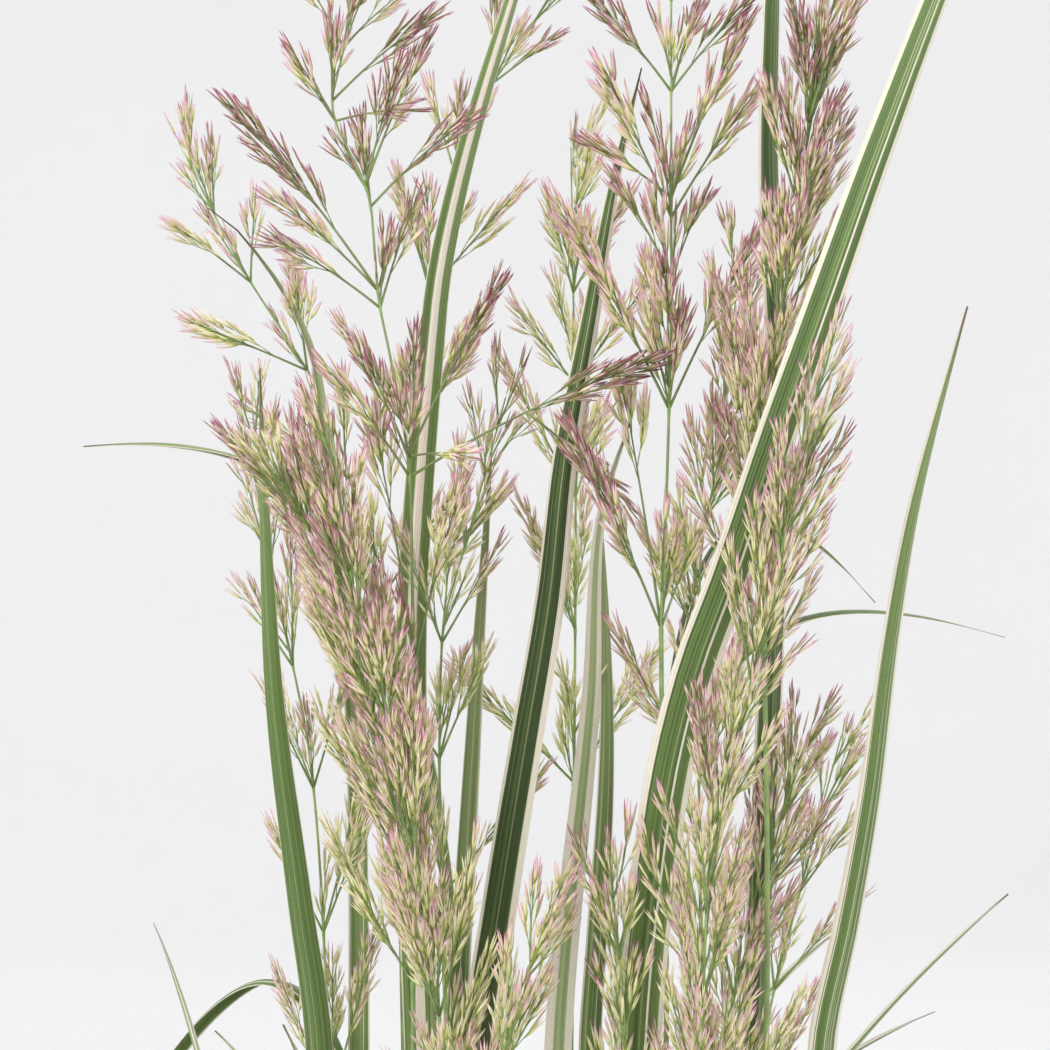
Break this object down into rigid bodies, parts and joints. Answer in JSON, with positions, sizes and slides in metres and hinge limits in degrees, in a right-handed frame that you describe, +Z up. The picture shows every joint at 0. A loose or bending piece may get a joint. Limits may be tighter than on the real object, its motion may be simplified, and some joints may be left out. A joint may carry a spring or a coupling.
{
  "type": "potted feather reed grass",
  "caption": "Clump of variegated feather reed grass in flower, with striped leaf blades and pink-tipped plumes, standing in the soil of a plain clay pot.",
  "frame": {"origin": "centre of the pot's flat foot, on the surface it stands on", "axes": "+Z up along the stems; +X to the right and +Y away for a viewer who sees the plant as its open, loose plumes show best"},
  "size_m": [0.5002, 0.4629, 0.958],
  "materials": {
    "clay": "matt, unglazed",
    "soil": "damp and crumbly",
    "leaf": "satin, green with cream edges and stripes",
    "stem": "satin, yellow-green sheaths",
    "plume": "satin, olive foot to dusty pink tip"
  },
  "bodies": {
    "root": {"pot": "clay", "soil": "soil", "shoot_01": "leaf", "shoot_02": "leaf", "shoot_03": "leaf", "shoot_04": "leaf", "shoot_05": "leaf", "shoot_06": "leaf", "shoot_07": "leaf", "shoot_08": "leaf", "shoot_09": "leaf", "shoot_10": "leaf", "shoot_11": "leaf", "shoot_12": "leaf", "shoot_13": "leaf", "shoot_14": "leaf", "shoot_15": "leaf", "shoot_16": "leaf", "stem_01": "stem", "stem_02": "stem", "stem_03": "stem", "stem_04": "stem", "stem_05": "stem", "stem_06": "stem", "stem_07": "stem", "stem_08": "stem", "stem_09": "stem", "stem_10": "stem", "stem_11": "stem", "stem_12": "stem", "stem_13": "stem", "stem_14": "stem", "stem_15": "stem", "stem_16": "stem", "plume_01": "plume", "plume_02": "plume", "plume_03": "plume", "plume_04": "plume", "plume_05": "plume", "plume_06": "plume", "plume_07": "plume", "plume_08": "plume", "plume_09": "plume", "plume_10": "plume", "plume_11": "plume", "plume_12": "plume", "plume_13": "plume", "plume_14": "plume", "plume_15": "plume", "plume_16": "plume"}
  },
  "joints": []
}
